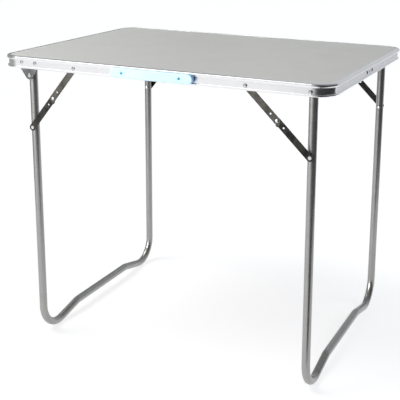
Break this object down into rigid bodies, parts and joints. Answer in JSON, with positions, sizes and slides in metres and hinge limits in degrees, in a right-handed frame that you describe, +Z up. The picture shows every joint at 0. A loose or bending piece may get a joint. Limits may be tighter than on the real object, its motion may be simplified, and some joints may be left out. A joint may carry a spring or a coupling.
{
  "type": "folding table",
  "caption": "Folding camping table: laminated board in a bent aluminium edge frame, U-shaped tube legs that fold flat under it on locking stays, and a carrying handle.",
  "frame": {"origin": "on the floor below the middle of the top, in the table's open position; the carrying handle's 11 mm stand-off at the front is left out of the middle", "axes": "+X along the length to the end with the frame's butt joint, -Y towards the long side with the carrying handle, +Z up"},
  "size_m": [0.8, 0.611, 0.6984],
  "materials": {
    "fibreboard": "raw fibreboard underside, matt",
    "grey_laminate": "light grey printed laminate, satin",
    "bare_aluminium": "bright extruded aluminium",
    "sleeve_steel": "zinc-plated strip",
    "dark_rivet": "dark blued steel",
    "blue_plastic": "light blue moulded plastic, glossy",
    "bracket_steel": "dark plated steel plate",
    "leg_paint": "metallic grey powder coat",
    "spacer_plastic": "black plastic bush",
    "upper_link_steel": "dark plated steel strip",
    "lower_link_steel": "darker plated steel strip",
    "rivet_aluminium": "bright rivet head"
  },
  "bodies": {
    "top": {"table_board": "fibreboard", "board_facing": "grey_laminate", "edge_frame": "bare_aluminium", "frame_joint_sleeve": "sleeve_steel", "frame_joint_rivets": "dark_rivet", "carry_handle": "blue_plastic", "handle_rivets": "dark_rivet", "left_bracket_front": "bracket_steel", "left_bracket_back": "bracket_steel", "bracket_rivets": "rivet_aluminium", "left_pivot_rivets": "rivet_aluminium", "left_pivot_spacers": "spacer_plastic", "right_pivot_rivets": "rivet_aluminium", "right_pivot_spacers": "spacer_plastic", "stay_frame_rivets": "rivet_aluminium", "stay_frame_spacers": "spacer_plastic"},
    "left_leg_body": {"left_leg": "leg_paint", "left_leg_stay_rivets": "rivet_aluminium", "left_leg_stay_washers": "spacer_plastic"},
    "right_leg_body": {"right_leg": "leg_paint", "right_leg_stay_rivets": "rivet_aluminium", "right_leg_stay_washers": "spacer_plastic"},
    "front_left_stay_upper": {"front_left_stay_upper_link": "upper_link_steel", "front_left_stay_centre_rivet": "rivet_aluminium"},
    "front_left_stay_lower": {"front_left_stay_lower_link": "lower_link_steel", "front_left_stay_centre_rivet_tail": "rivet_aluminium"},
    "back_left_stay_upper": {"back_left_stay_upper_link": "upper_link_steel", "back_left_stay_centre_rivet": "rivet_aluminium"},
    "back_left_stay_lower": {"back_left_stay_lower_link": "lower_link_steel", "back_left_stay_centre_rivet_tail": "rivet_aluminium"},
    "front_right_stay_upper": {"front_right_stay_upper_link": "upper_link_steel", "front_right_stay_centre_rivet": "rivet_aluminium"},
    "front_right_stay_lower": {"front_right_stay_lower_link": "lower_link_steel", "front_right_stay_centre_rivet_tail": "rivet_aluminium"},
    "back_right_stay_upper": {"back_right_stay_upper_link": "upper_link_steel", "back_right_stay_centre_rivet": "rivet_aluminium"},
    "back_right_stay_lower": {"back_right_stay_lower_link": "lower_link_steel", "back_right_stay_centre_rivet_tail": "rivet_aluminium"}
  },
  "joints": [
    {"name": "left_leg_fold", "type": "hinge", "parent": "top", "child": "left_leg_body", "pos_m": [-0.322, 0, 0.657], "axis": [0, -1, 0], "range_deg": [0, 90]},
    {"name": "right_leg_fold", "type": "hinge", "parent": "top", "child": "right_leg_body", "pos_m": [0.353, 0, 0.6815], "axis": [0, 1, 0], "range_deg": [0, 91.4]},
    {"name": "front_left_stay_upper_turn", "type": "hinge", "parent": "top", "child": "front_left_stay_upper", "pos_m": [-0.201, 0, 0.682], "axis": [0, -1, 0], "range_deg": [0, 129.37]},
    {"name": "front_left_stay_lower_turn", "type": "hinge", "parent": "left_leg_body", "child": "front_left_stay_lower", "pos_m": [-0.322, 0, 0.5335], "axis": [0, -1, 0], "range_deg": [-125.96, 0]},
    {"name": "back_left_stay_upper_turn", "type": "hinge", "parent": "top", "child": "back_left_stay_upper", "pos_m": [-0.201, 0, 0.682], "axis": [0, -1, 0], "range_deg": [0, 129.37]},
    {"name": "back_left_stay_lower_turn", "type": "hinge", "parent": "left_leg_body", "child": "back_left_stay_lower", "pos_m": [-0.322, 0, 0.5335], "axis": [0, -1, 0], "range_deg": [-125.96, 0]},
    {"name": "front_right_stay_upper_turn", "type": "hinge", "parent": "top", "child": "front_right_stay_upper", "pos_m": [0.213, 0, 0.682], "axis": [0, 1, 0], "range_deg": [0, 136.5]},
    {"name": "front_right_stay_lower_turn", "type": "hinge", "parent": "right_leg_body", "child": "front_right_stay_lower", "pos_m": [0.35634, 0, 0.54504], "axis": [0, 1, 0], "range_deg": [-135.01, 0]},
    {"name": "back_right_stay_upper_turn", "type": "hinge", "parent": "top", "child": "back_right_stay_upper", "pos_m": [0.213, 0, 0.682], "axis": [0, 1, 0], "range_deg": [0, 136.5]},
    {"name": "back_right_stay_lower_turn", "type": "hinge", "parent": "right_leg_body", "child": "back_right_stay_lower", "pos_m": [0.35634, 0, 0.54504], "axis": [0, 1, 0], "range_deg": [-135.01, 0]}
  ],
  "couplings": [
    {"joint": "front_left_stay_upper_turn", "follows": "left_leg_fold", "ratio": 1.4353},
    {"joint": "front_left_stay_lower_turn", "follows": "left_leg_fold", "ratio": -1.3973},
    {"joint": "back_left_stay_upper_turn", "follows": "left_leg_fold", "ratio": 1.4353},
    {"joint": "back_left_stay_lower_turn", "follows": "left_leg_fold", "ratio": -1.3973},
    {"joint": "front_right_stay_upper_turn", "follows": "right_leg_fold", "ratio": 1.4913},
    {"joint": "front_right_stay_lower_turn", "follows": "right_leg_fold", "ratio": -1.475},
    {"joint": "back_right_stay_upper_turn", "follows": "right_leg_fold", "ratio": 1.4913},
    {"joint": "back_right_stay_lower_turn", "follows": "right_leg_fold", "ratio": -1.475}
  ]
}
